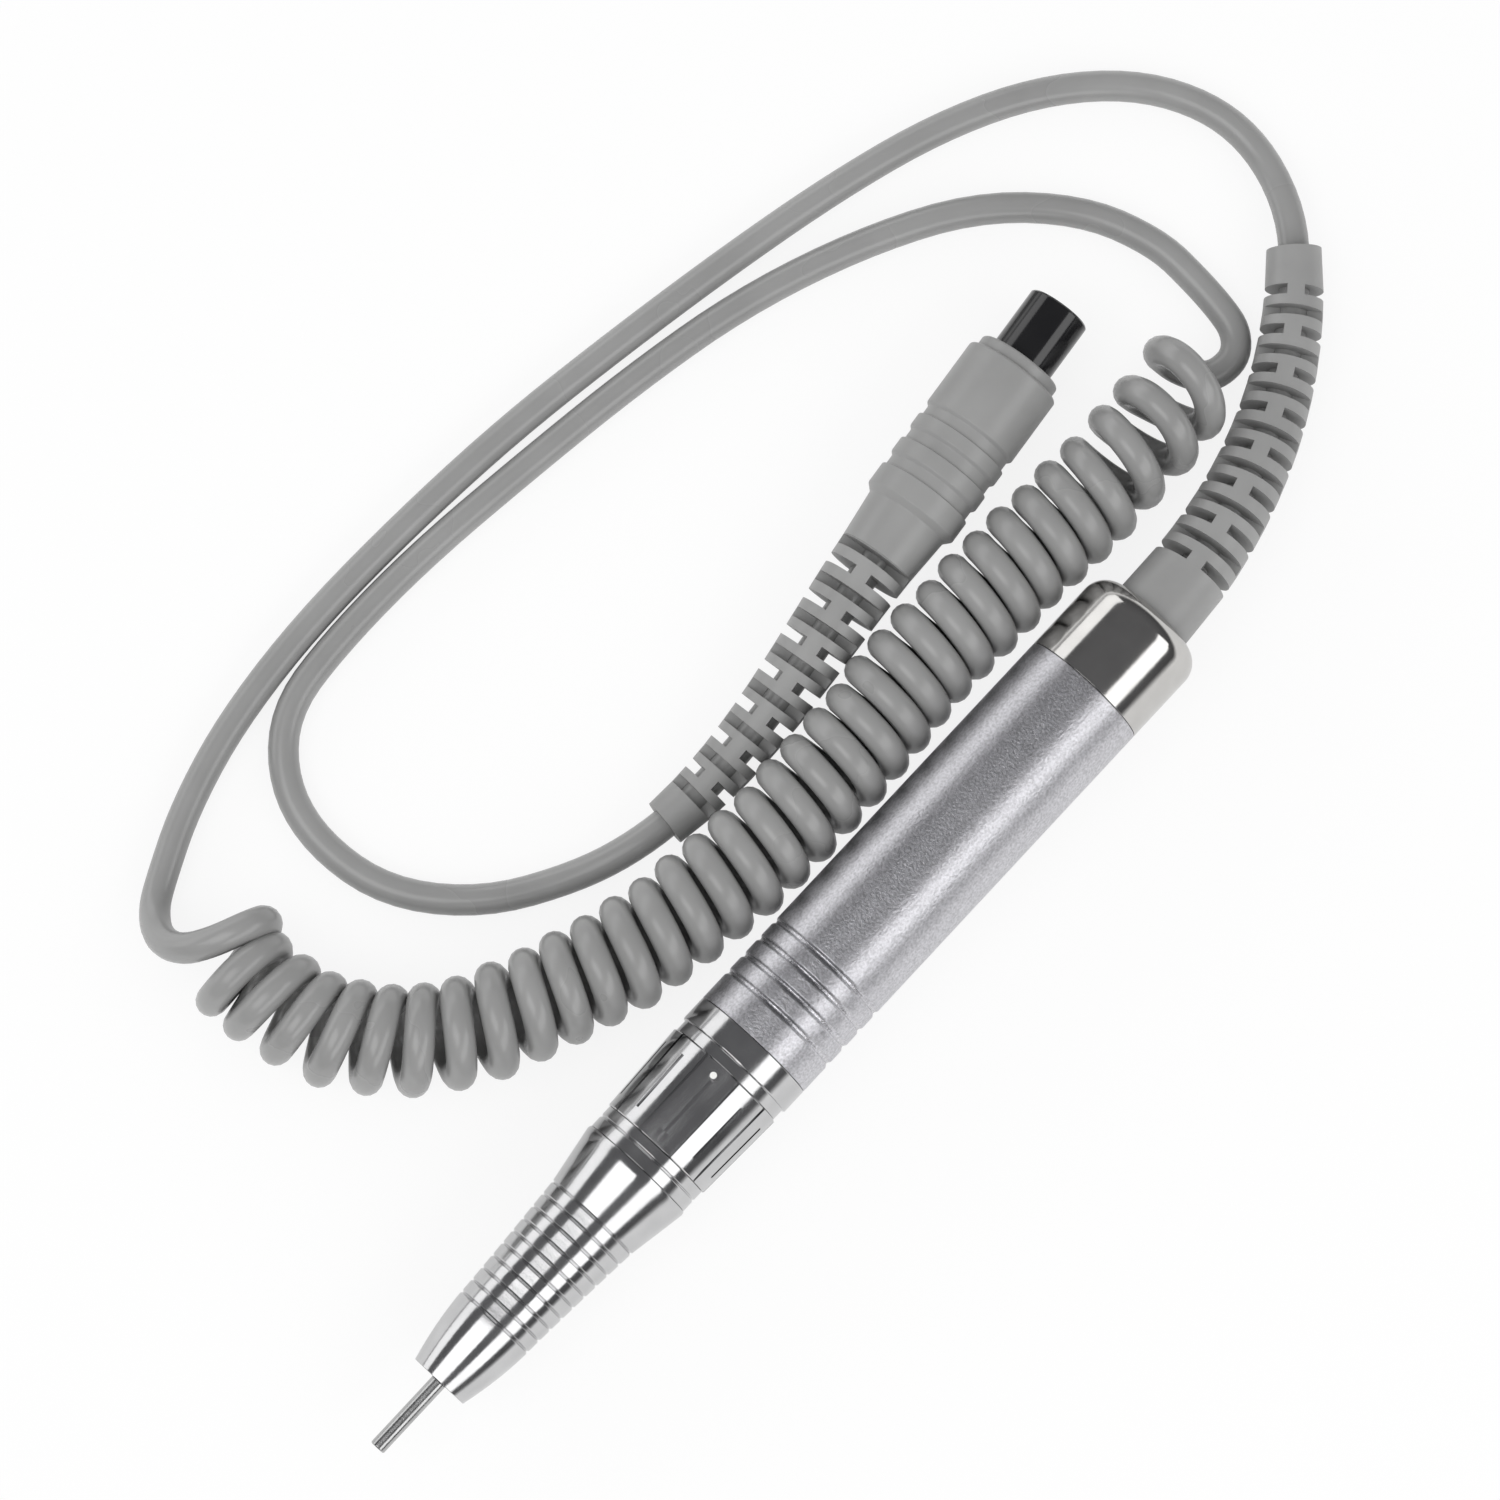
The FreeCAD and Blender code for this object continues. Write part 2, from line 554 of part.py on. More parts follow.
def armature():
    """Rotor: shaft, slotted core, three coils and the commutator."""
    pole_r = can_radius() - CAN_WALL - MAGNET_T - AIR_GAP
    rear_bearing_x = CAN_END_X + END_BELL_T - MOTOR_BEARING_W
    keep("motor_shaft", tube(SHAFT_X, rear_bearing_x + MOTOR_BEARING_W, SHAFT_R))
    end = ARMATURE_X + ARMATURE_LEN
    core = tube(ARMATURE_X, end, pole_r, SHAFT_R + SEAT_GAP)
    slot_ring = tube(ARMATURE_X - 1, end + 1, pole_r - POLE_CAP_T, HUB_R)
    tooth = box((ARMATURE_X - 1, -TOOTH_W / 2, 0), (end + 1, TOOTH_W / 2, pole_r))
    teeth = [about_axis(tooth, 360 * i / POLES) for i in range(POLES)]
    mouth = box((ARMATURE_X - 1, -POLE_SLOT / 2, HUB_R), (end + 1, POLE_SLOT / 2, 2 * pole_r))
    mouths = [about_axis(mouth, 360 * (i + 0.5) / POLES) for i in range(POLES)]
    keep("armature_core", core.cut([slot_ring.cut(teeth)] + mouths))
    overhang = 1.6
    winding_r = pole_r - POLE_CAP_T - 0.05
    wound = tube(ARMATURE_X - overhang, end + overhang, winding_r, HUB_R + 0.05)
    gap_box = box((ARMATURE_X - 3, -0.3, 0), (end + 3, 0.3, 2 * pole_r))
    gaps = [about_axis(gap_box, 360 * (i + 0.5) / POLES) for i in range(POLES)]
    wide_tooth = box((ARMATURE_X - 0.05, -TOOTH_W / 2 - 0.05, 0),
                     (end + 0.05, TOOTH_W / 2 + 0.05, 2 * pole_r))
    wide = [about_axis(wide_tooth, 360 * i / POLES) for i in range(POLES)]
    coils = wound.cut(gaps + wide)
    keep("armature_windings", coils)
    bars = tube(COMMUTATOR_X, COMMUTATOR_X + COMMUTATOR_LEN, COMMUTATOR_R, SHAFT_R + SEAT_GAP)
    slit = box((COMMUTATOR_X - 1, -0.15, 0), (COMMUTATOR_X + COMMUTATOR_LEN + 1, 0.15, 2 * COMMUTATOR_R))
    keep("commutator", bars.cut([about_axis(slit, 360 * (i + 0.5) / POLES) for i in range(POLES)]))


def brush_gear():
    """End bell with the rear bearing, two carbon brushes, their leaf springs and terminals."""
    outer = can_radius()
    inner = outer - CAN_WALL
    start = CAN_END_X
    end = start + END_BELL_T
    middle = COMMUTATOR_X + COMMUTATOR_LEN / 2
    low = COMMUTATOR_R + 0.05
    high = low + BRUSH_LEN
    lip = 2.0
    bell = turned((start, SHAFT_R + FREE_GAP), (start, outer), (end, outer), (end, MOTOR_BEARING_R),
                  (end - MOTOR_BEARING_W, MOTOR_BEARING_R), (end - MOTOR_BEARING_W, SHAFT_R + FREE_GAP))
    rim = tube(start - lip, start, inner - SEAT_GAP, inner - 1.0)
    wall = 0.8
    guide_low = COMMUTATOR_R + 0.6
    guide = box((middle - BRUSH_W / 2 - wall, -BRUSH_H / 2 - wall, guide_low),
                (start, BRUSH_H / 2 + wall, high - 0.1))
    hole = box((middle - BRUSH_W / 2 - SEAT_GAP, -BRUSH_H / 2 - SEAT_GAP, 0),
               (middle + BRUSH_W / 2 + SEAT_GAP, BRUSH_H / 2 + SEAT_GAP, 2 * outer))
    brush = box((middle - BRUSH_W / 2, -BRUSH_H / 2, low), (middle + BRUSH_W / 2, BRUSH_H / 2, high))
    spring = box((middle - 0.8, -BRUSH_H / 2, high), (start, BRUSH_H / 2 - 0.6, high + 0.2))
    spring = spring.fuse(box((middle - 0.8, -1.0, high), (middle + 0.8, 1.0, high + 0.2)))
    guides = [about_axis(guide.cut(hole), turn) for turn in (0, 180)]
    slot_y = TERMINAL_Y
    tab = box((start - 1.0, -1.0, slot_y), (end + TERMINAL_LEN, 1.0, slot_y + 0.5))
    tab_room = box((start - 2.0, -1.0 - SEAT_GAP, slot_y - SEAT_GAP),
                   (end + 1, 1.0 + SEAT_GAP, slot_y + 0.5 + SEAT_GAP))
    rooms = [about_axis(tab_room, turn) for turn in (90, 270)]
    bell = bell.fuse([rim] + guides).removeSplitter().cut(rooms)
    keep("brush_holder", bell)
    keep("carbon_brushes", Part.makeCompound([about_axis(brush, turn) for turn in (0, 180)]))
    springs = [about_axis(spring.removeSplitter(), turn) for turn in (0, 180)]
    keep("brush_springs", Part.makeCompound(springs))
    keep("motor_terminals", Part.makeCompound([about_axis(tab, turn) for turn in (90, 270)]))
    bearing("motor_rear_bearing", end - MOTOR_BEARING_W, SHAFT_R, MOTOR_BEARING_R, MOTOR_BEARING_W)
    ring = tube(end, end + CLAMP_RING_LEN, BODY_R - TUBE_WALL - SEAT_GAP, outer - 1.6)
    keep("motor_clamp_ring", ring)


# ---------------------------------------------------------------- rear cap, boots and cord ends

def rear_cap():
    """Rounded rear cap: a spigot screws into the tube, a hole holds the boot's neck."""
    corner = CAP_CORNER_R
    spigot = BODY_R - TUBE_WALL - SEAT_GAP
    spigot_x = CAP_X - CAP_SPIGOT
    bore = BOOT_FLANGE_R + SEAT_GAP
    hole = BOOT_NECK_R + SEAT_GAP
    bore_end = CAP_X + CAP_BORE_DEPTH
    bend = corner * (1 - cos(radians(45)))
    groove = O_RING_R + 0.05
    ring_x = spigot_x + 2.5
    cap = turned((spigot_x, bore), (spigot_x, spigot), (CAP_X, spigot), (CAP_X, BODY_R),
                 (CAP_END_X - corner, BODY_R),
                 ("arc", (CAP_END_X - bend, BODY_R - bend), (CAP_END_X, BODY_R - corner)),
                 (CAP_END_X, hole), (bore_end, hole), (bore_end, bore))
    seat = Part.makeTorus(spigot - O_RING_R, groove, Vector(ring_x, 0, 0), Vector(1, 0, 0))
    keep("rear_cap", cap.cut(seat))
    keep("cap_o_ring", Part.makeTorus(spigot - O_RING_R, O_RING_R - 0.02, Vector(ring_x, 0, 0), Vector(1, 0, 0)))


def bend_frames(start, heading, turn, turn_growth, length, end_z, steps):
    """Points and directions down a bending boot.

    The heading changes by turn * share + turn_growth * share squared, in degrees, and the
    height eases from the start's to end_z.
    """
    frames = []
    fine = 40
    point = Vector(start)
    for step in range(steps * fine + 1):
        share = step / (steps * fine)
        angle = radians(heading + turn * share + turn_growth * share ** 2)
        rise = (end_z - start[2]) * 6 * share * (1 - share) / length
        direction = Vector(cos(angle), sin(angle), rise).normalize()
        if step % fine == 0:
            frames.append((Vector(point), direction))
        point = point + direction * (length / (steps * fine))
    return frames


def ring_loft(frames, radii):
    """A solid through circles that stand square on a bending line."""
    wires = []
    for (point, direction), radius in zip(frames, radii):
        circle = Part.Circle(point, direction, radius)
        wires.append(Part.Wire([circle.toShape()]))
    return Part.makeLoft(wires, True, True)


def boot_slots(frames, fine, first, pitch, count, side_first):
    """Blocks that cut the alternating slots of a boot, leaving two webs at each slot."""
    reach = 2 * BOOT_NECK_R
    blocks = []
    for i in range(count):
        point, direction = frames[round((first + pitch * i + BOOT_SLOT_W / 2) * fine)]
        side = Vector(0, 0, 1).cross(direction).normalize()
        up = direction.cross(side)
        across, along = (side, up) if (i % 2 == 0) == side_first else (up, side)
        turn = Placement(FreeCAD.Matrix(direction.x, across.x, along.x, point.x,
                                        direction.y, across.y, along.y, point.y,
                                        direction.z, across.z, along.z, point.z,
                                        0, 0, 0, 1))
        for near in (BOOT_WEB_W / 2, -BOOT_WEB_W / 2 - reach):
            block = Part.makeBox(BOOT_SLOT_W, reach, 2 * reach, Vector(-BOOT_SLOT_W / 2, near, -reach))
            block.Placement = turn
            blocks.append(block)
    return blocks


def boot(start, heading, turn, growth, end_z, collar, pitch, tail, radii, side_first):
    """A slotted boot, the bore through it and the frame of its far end.

    radii are those at its start, at the end of its collar, at the start of its tail and at its end.
    """
    slots = pitch * (BOOT_SLOTS - 1) + BOOT_SLOT_W
    length = collar + slots + tail
    fine = 10
    steps = round(length * fine)
    frames = bend_frames(start, heading, turn, growth, length, end_z, steps)
    stations = [0, collar] if collar else [0]
    spans = 12
    stations += [collar + slots * (i + 1) / spans for i in range(spans)]
    stations += [collar + slots + tail]
    chosen = [frames[min(round(s / length * steps), steps)] for s in stations]
    sizes = []
    for s in stations:
        if s <= collar:
            sizes.append(radii[0] + (radii[1] - radii[0]) * (s / collar if collar else 1))
        elif s <= collar + slots + 1e-6:
            sizes.append(radii[1] + (radii[2] - radii[1]) * (s - collar) / slots)
        else:
            sizes.append(radii[3])
    outside = ring_loft(chosen, sizes)
    bore = ring_loft(chosen, [CORD_R + CORD_GAP] * len(chosen))
    cord = ring_loft(chosen, [CORD_R] * len(chosen))
    body = outside.cut(bore)
    body = body.cut(boot_slots(frames, steps / length, collar, pitch, BOOT_SLOTS, side_first))
    return body, cord, frames[-1]


def handpiece_boot():
    """Strain relief of the handpiece: flange and neck inside the cap, slotted boot outside."""
    start = (CAP_END_X - ORIGIN_X, 0.0, AXIS_Z)
    body, cord, end = boot(start, 0.0, 40.0, 5.0, BOOT_END_R + BOOT_LIE, BOOT_COLLAR, BOOT_SLOT_PITCH,
                           BOOT_TAIL, (BOOT_NECK_R, BOOT_COLLAR_R, BOOT_TAIL_R, BOOT_END_R), True)
    flange_x = CAP_X + CAP_BORE_DEPTH - BOOT_FLANGE_T
    bore = CORD_R + CORD_GAP
    neck = turned((flange_x, bore), (flange_x, BOOT_FLANGE_R), (flange_x + BOOT_FLANGE_T, BOOT_FLANGE_R),
                  (flange_x + BOOT_FLANGE_T, BOOT_NECK_R), (CAP_END_X, BOOT_NECK_R), (CAP_END_X, bore))
    nodes["cord_boot"] = body.fuse(on_handpiece(neck)).removeSplitter()
    straight = on_handpiece(tube(CORD_TAIL_X, CAP_END_X, CORD_R))
    nodes["cord_tail_handpiece"] = cord.fuse(straight).removeSplitter()
    clamp = tube(CORD_TAIL_X + 0.8, flange_x - 0.1, CORD_R + 1.6, CORD_R + SEAT_GAP)
    keep("cord_clamp", clamp)
    return end


def lead_wires():
    """Two insulated wires from the cord's end to the motor terminals."""
    tab_end = CAN_END_X + END_BELL_T + TERMINAL_LEN
    wires = []
    for side in (1, -1):
        outer = Vector(tab_end - 2.0, side * (TERMINAL_Y + 0.5 + WIRE_R), 0)
        inner = Vector(CORD_TAIL_X, side * 1.0, 0)
        bends = [outer, outer + Vector(6, 0, 0), inner - Vector(5, 0, 0), inner]
        wires.append(bent_tube(bends, WIRE_R)[0])
    keep("lead_wires", Part.makeCompound(wires))


# ---------------------------------------------------------------- cord

def bent_tube(points, radius):
    """A tube of straight runs joined by tangent arcs, with its length and bend radii."""
    points = [Vector(p) for p in points]
    edges = []
    here = points[0]
    length = 0.0
    radii = []
    for before, corner, after in zip(points, points[1:], points[2:]):
        into = (corner - before).normalize()
        out = (after - corner).normalize()
        turn = into.getAngle(out)
        run = min((corner - before).Length, (after - corner).Length)
        bend = 0.45 * run / tan(turn / 2)
        cut = 0.45 * run
        start = corner - into * cut
        end = corner + out * cut
        centre_way = (out - into).normalize()
        middle = corner + centre_way * (bend / cos(turn / 2) - bend)
        edges.append(Part.LineSegment(here, start).toShape())
        edges.append(Part.Arc(start, middle, end).toShape())
        length += (start - here).Length + bend * turn
        radii.append(bend)
        here = end
    edges.append(Part.LineSegment(here, points[-1]).toShape())
    length += (points[-1] - here).Length
    path = Part.Wire(edges)
    section = Part.Wire([Part.Circle(points[0], (points[1] - points[0]).normalize(), radius).toShape()])
    return path.makePipeShell([section], True, False), length, radii


def report(name, shape, radius, length, radii):
    share = shape.Volume / (pi * radius ** 2 * length)
    smallest = min(radii)
    print(f"{name}: length {length:.1f} mm, volume / (section x length) {share:.5f}, "
          f"least bend {smallest:.2f} mm = {smallest / (2 * radius):.2f} diameters")
    print("   bends:", " ".join(f"{r:.1f}" for r in radii))


def cord(boot_end, plug_end):
    """The two free leads and the coil's outer shape."""
    way_out = boot_end[0] + boot_end[1] * 5.2
    lead_a = [boot_end[0], way_out] + [Vector(*p) for p in LEAD_A_ROUTE]
    way_in = plug_end[0] + plug_end[1] * 5.0
    lead_b = [Vector(*p) for p in LEAD_B_ROUTE] + [way_in, plug_end[0]]
    runs = {"cord_lead_a": (lead_a, CORD_R), "cord_coil": ([Vector(*p) for p in COIL_ROUTE], COIL_R),
            "cord_lead_b": (lead_b, CORD_R)}
    for name, (points, radius) in runs.items():
        shape, length, radii = bent_tube(points, radius)
        report(name, shape, radius, length, radii)
        nodes[name] = shape
    print("boot ends:", boot_end[0], boot_end[1], plug_end[0], plug_end[1], "way out", way_out, way_in)


# ---------------------------------------------------------------- plug

def on_plug(shape):
    """Move a shape from the plug's stations to the object's frame."""
    placed = shape.copy()
    placed.rotate(Vector(0, 0, 0), Vector(0, 0, 1), PLUG_TURN)
    placed.translate(Vector(PLUG_X - ORIGIN_X, PLUG_Y, GRIP_R + LIE))
    return placed


def plug():
    """Overmoulded grip with three rings, front ring, shell, contact carrier and contacts."""
    core = CORD_R + CORD_GAP
    seat_start = GRIP_END - SHELL_SEAT
    seat = SHELL_SEAT_R + SEAT_GAP
    edge = 0.3
    flare_end = GRIP_NECK + GRIP_FLARE
    outline = [(0, core), (0, GRIP_NECK_R), (GRIP_NECK, GRIP_NECK_END_R), (flare_end, GRIP_RING_R)]
    for start, end in GRIP_GROOVES:
        outline += [(start, GRIP_RING_R), (start, GRIP_GROOVE_R), (end, GRIP_GROOVE_R),
                    (end + GRIP_CHAMFER, GRIP_RING_R)]
    outline[-1] = (GRIP_GROOVES[-1][1] + GRIP_CHAMFER, GRIP_R)
    outline += [(GRIP_END - edge, GRIP_R), (GRIP_END, GRIP_R - edge), (GRIP_END, seat),
                (seat_start, seat), (seat_start, core)]
    nodes["plug_grip"] = on_plug(turned(*outline))
    ring_end = GRIP_END + PLUG_RING_T
    shell_end = ring_end + SHELL_LEN
    nodes["plug_front_ring"] = on_plug(turned(
        (GRIP_END, seat), (GRIP_END, PLUG_RING_R), (ring_end - edge, PLUG_RING_R),
        (ring_end, PLUG_RING_R - edge), (ring_end, seat)))
    room = SHELL_SEAT_R - SHELL_WALL
    nodes["plug_shell"] = on_plug(turned(
        (seat_start + 0.05, room), (seat_start + 0.05, SHELL_SEAT_R), (ring_end, SHELL_SEAT_R),
        (ring_end, SHELL_R), (shell_end - edge, SHELL_R), (shell_end, SHELL_R - edge),
        (shell_end, room)))
    face = shell_end - INSERT_RECESS
    carrier = tube(seat_start + 0.5, face, room - SEAT_GAP)
    pins = []
    holes = []
    for i in range(PIN_COUNT):
        turn = 360 * (i + 0.5) / PIN_COUNT
        root = seat_start + 1.0
        rod = Part.makeCylinder(PIN_CONTACT_R, face + PIN_LEN - root, Vector(root, 0, PIN_CIRCLE_R),
                                Vector(1, 0, 0))
        hole = Part.makeCylinder(PIN_CONTACT_R + SEAT_GAP, face + 1 - root,
                                 Vector(root - 0.02, 0, PIN_CIRCLE_R), Vector(1, 0, 0))
        pins.append(about_axis(rod, turn))
        holes.append(about_axis(hole, turn))
    nodes["plug_insert"] = on_plug(carrier.cut(holes))
    nodes["plug_contacts"] = on_plug(Part.makeCompound(pins))
    start = Vector(PLUG_X - ORIGIN_X, PLUG_Y, GRIP_R + LIE)
    body, cord_part, end = boot(start, 180 + PLUG_TURN, 13.0, -27.5, PLUG_END_R + BOOT_LIE, 0.0,
                                PLUG_SLOT_PITCH, PLUG_TAIL,
                                (GRIP_NECK_R, GRIP_NECK_R, PLUG_TAIL_R, PLUG_END_R), False)
    nodes["plug_boot"] = body
    inner = on_plug(tube(0, seat_start - 3.0, CORD_R))
    nodes["cord_tail_plug"] = cord_part.fuse(inner).removeSplitter()
    return end


# ---------------------------------------------------------------- build

nose_cone()
spindle()
collet()
spring_washers()
spindle_housing()
release_ring()
twist_sleeve()
front_band()
dogs()
bearing("front_bearing", FRONT_BEARING_X, SPINDLE_JOURNAL_R, FRONT_BEARING_R, FRONT_BEARING_W, 9)
bearing("rear_bearing", REAR_BEARING_X, SPINDLE_JOURNAL_R, REAR_BEARING_R, REAR_BEARING_W)
body_tube()
motor_stator()
armature()
brush_gear()
rear_cap()
boot_end = handpiece_boot()
lead_wires()
plug_end = plug()
cord(boot_end, plug_end)

os.makedirs("parts", exist_ok=True)
for name, shape in sorted(nodes.items()):
    if not shape.isValid() or not shape.Solids:
        print("check", name, "valid", shape.isValid(), "solids", len(shape.Solids))
    shape.exportStep(f"parts/{name}.step")
print(len(nodes), "nodes")
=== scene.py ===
import math

import bmesh
import bpy
from mathutils import Matrix, Vector


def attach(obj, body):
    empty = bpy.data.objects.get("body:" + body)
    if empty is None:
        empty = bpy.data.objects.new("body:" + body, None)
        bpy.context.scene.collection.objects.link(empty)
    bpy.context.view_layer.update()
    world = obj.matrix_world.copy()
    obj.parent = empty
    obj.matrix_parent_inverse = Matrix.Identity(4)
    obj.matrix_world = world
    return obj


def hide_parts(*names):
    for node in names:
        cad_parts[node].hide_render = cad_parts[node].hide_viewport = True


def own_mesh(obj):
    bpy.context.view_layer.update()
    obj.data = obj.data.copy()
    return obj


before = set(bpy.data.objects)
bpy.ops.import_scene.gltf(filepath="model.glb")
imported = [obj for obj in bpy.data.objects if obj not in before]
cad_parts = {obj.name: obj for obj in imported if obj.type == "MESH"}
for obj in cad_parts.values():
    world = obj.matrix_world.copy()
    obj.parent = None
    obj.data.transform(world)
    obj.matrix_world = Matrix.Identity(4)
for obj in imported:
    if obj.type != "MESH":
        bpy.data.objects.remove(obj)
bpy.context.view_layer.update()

# ---- Camera
# A long lens almost straight above the table, so the handpiece, the cord and
# the plug are seen from above with the nose towards the lower left.
AIM = Vector((0.02778, 0.02917, 0.0))
EYE = Vector((-0.07204, -0.06356, 0.98181))
PICTURE_TOP = Vector((0.7326, 0.6806, 0.0))
look = (AIM - EYE).normalized()
side = look.cross(PICTURE_TOP).normalized()
lens = bpy.data.cameras.new("camera")
lens.lens = 169.56
lens.sensor_width = 36.0
lens.clip_start = 0.01
lens.clip_end = 20.0
camera = bpy.data.objects.new("camera", lens)
turned_to = Matrix((side, side.cross(look), -look)).transposed().to_4x4()
camera.matrix_world = Matrix.Translation(EYE) @ turned_to
bpy.context.scene.collection.objects.link(camera)
bpy.context.scene.camera = camera

# ---- Curly cord
# One flexible PVC sheathed cord: a plain lead from the handpiece, a springy
# left-handed coil lying on the table, and a plain lead back to the plug.
CORD_R = 0.0022
CORD_Z = 0.00225
COIL_Z = 0.008
COIL_MEAN_R = 0.00575
POINTS_A_TURN = 14
BOOT_END = Vector((0.131822, 0.021075, 0.004115))
PLUG_BOOT_END = Vector((0.011801, 0.030513, 0.003697))
LEAD_A = [
    (0.1355, 0.02475, 0.004115), (0.1398, 0.035, CORD_Z), (0.1393, 0.0445, CORD_Z),
    (0.1342, 0.0545, CORD_Z), (0.1242, 0.0635, CORD_Z), (0.1107, 0.0702, CORD_Z),
    (0.0947, 0.0749, CORD_Z), (0.0767, 0.0787, CORD_Z), (0.0577, 0.082, CORD_Z),
    (0.0377, 0.0849, CORD_Z), (0.0177, 0.0863, CORD_Z), (-0.0023, 0.0866, CORD_Z),
    (-0.0193, 0.0848, CORD_Z), (-0.0323, 0.0812, CORD_Z), (-0.0413, 0.077, CORD_Z),
    (-0.0456, 0.0746, 0.0030), (-0.0482, 0.0708, 0.0064), (-0.0474, 0.0668, 0.0106),
    (-0.0436, 0.0640, 0.0132), (-0.0388, 0.0620, 0.0137), (-0.0362, 0.0611, 0.0112),
    (-0.0366, 0.0607, 0.0066),
]
COIL_AXIS = [
    (-0.044, 0.0645, COIL_Z), (-0.044, 0.0545, COIL_Z), (-0.0416, 0.0435, COIL_Z),
    (-0.0342, 0.0337, COIL_Z), (-0.0227, 0.0272, COIL_Z), (-0.0082, 0.022, COIL_Z),
    (0.0068, 0.0188, COIL_Z), (0.0227, 0.0177, COIL_Z), (0.0377, 0.0182, COIL_Z),
    (0.0517, 0.0193, COIL_Z), (0.0657, 0.0191, COIL_Z), (0.0797, 0.0184, COIL_Z),
    (0.0907, 0.0179, COIL_Z), (0.0987, 0.018, COIL_Z), (0.1042, 0.019, COIL_Z),
    (0.1097, 0.019, COIL_Z),
]
LEAD_B = [
    (0.1096, 0.0186, CORD_Z), (0.1118, 0.0170, CORD_Z), (0.1154, 0.0169, CORD_Z),
    (0.1180, 0.0194, CORD_Z), (0.1189, 0.0232, CORD_Z), (0.1195, 0.0286, CORD_Z),
    (0.1198, 0.0360, CORD_Z),
    (0.1162, 0.047, CORD_Z), (0.1062, 0.0585, CORD_Z), (0.0912, 0.0668, CORD_Z),
    (0.0737, 0.0732, CORD_Z), (0.0552, 0.0769, CORD_Z), (0.0357, 0.0795, CORD_Z),
    (0.0157, 0.0817, CORD_Z), (-0.0013, 0.0819, CORD_Z), (-0.0128, 0.0805, CORD_Z),
    (-0.0203, 0.0738, CORD_Z), (-0.0233, 0.0645, CORD_Z), (-0.0218, 0.0525, CORD_Z),
    (-0.0138, 0.0416, CORD_Z), (-0.0023, 0.0346, CORD_Z), (0.00685, 0.03118, 0.003697),
]
# Pairs of turn number and distance along the coil's axis: the turns lie close
# in the middle and stretch open at both ends.
COIL_TURNS = [
    (0.0, 0.0030), (1.0, 0.0058), (9.0, 0.0498), (20.0, 0.1056), (31.0, 0.1574), (34.5, 0.1790),
]
COIL_START = 0.42
COIL_END = 34.42
# The last turns lean along the coil, and every turn is a little off the next.
LEAN_FROM = 31.6
LAST_TURN_LEAN = 0.0022
SWAY = 0.00022
SWELL = 0.012


def nurbs(name, points):
    """A curve object of one NURBS spline with these points as its control points."""
    curve = bpy.data.curves.new(name, "CURVE")
    curve.dimensions = "3D"
    spline = curve.splines.new("NURBS")
    spline.points.add(len(points) - 1)
    for point, place in zip(spline.points, points):
        point.co = (*place, 1.0)
    spline.order_u = 3
    spline.use_endpoint_u = True
    made = bpy.data.objects.new(name, curve)
    bpy.context.scene.collection.objects.link(made)
    return made


def line_points(curve_object):
    """The points along a curve object's own line, as Blender works them out."""
    bpy.context.view_layer.update()
    evaluated = curve_object.evaluated_get(bpy.context.evaluated_depsgraph_get())
    line = bpy.data.meshes.new_from_object(evaluated)
    points = [v.co.copy() for v in line.vertices]
    bpy.data.meshes.remove(line)
    return points


def distance_at(turn):
    """Distance along the coil's axis at which the cord has made that many turns."""
    for (turn_a, far_a), (turn_b, far_b) in zip(COIL_TURNS, COIL_TURNS[1:]):
        if turn <= turn_b:
            return far_a + (far_b - far_a) * (turn - turn_a) / (turn_b - turn_a)
    return COIL_TURNS[-1][1]


axis_curve = nurbs("coil_axis", COIL_AXIS)
axis_curve.data.resolution_u = 24
axis_line = line_points(axis_curve)
bpy.data.objects.remove(axis_curve)
axis_far = [0.0]
for a, b in zip(axis_line, axis_line[1:]):
    axis_far.append(axis_far[-1] + (b - a).length)

# A NURBS of order 3 runs inside its control points, so they stand out far
# enough for the middle of the sheath to lie on the coil's mean radius.
reach = COIL_MEAN_R / (0.75 + 0.25 * math.cos(2 * math.pi / POINTS_A_TURN))
coil_points = []
steps = round((COIL_END - COIL_START) * POINTS_A_TURN)
here = 0
for step in range(steps + 1):
    turn = COIL_START + step / POINTS_A_TURN
    far = distance_at(turn)
    while here < len(axis_far) - 2 and axis_far[here + 1] < far:
        here += 1
    along = (axis_line[here + 1] - axis_line[here]).normalized()
    centre = axis_line[here] + along * (far - axis_far[here])
    left = Vector((0, 0, 1)).cross(along)
    angle = 2 * math.pi * turn
    sway = SWAY * math.sin(2.3 * turn) * math.sin(0.9 * turn + 1.0)
    swell = 1.0 + SWELL * math.sin(1.7 * turn + 0.6)
    offset = left * (reach * swell * math.sin(angle) + sway)
    rise = reach * math.cos(angle)
    last_turns = max(0.0, (turn - LEAN_FROM) / (COIL_END - LEAN_FROM))
    lean = max(0.0, LAST_TURN_LEAN * last_turns * math.cos(angle))
    coil_points.append(centre + offset + along * lean + Vector((0, 0, rise)))

cord_points = [BOOT_END] + LEAD_A + coil_points + LEAD_B + [PLUG_BOOT_END]
cord = nurbs("curly_cord", cord_points)
cord.data.resolution_u = 5
cord.data.bevel_depth = CORD_R
cord.data.bevel_resolution = 6
cord.data.use_fill_caps = True
bare_cord = nurbs("cord_measure", cord_points)
cord_line = line_points(bare_cord)
bpy.data.objects.remove(bare_cord)


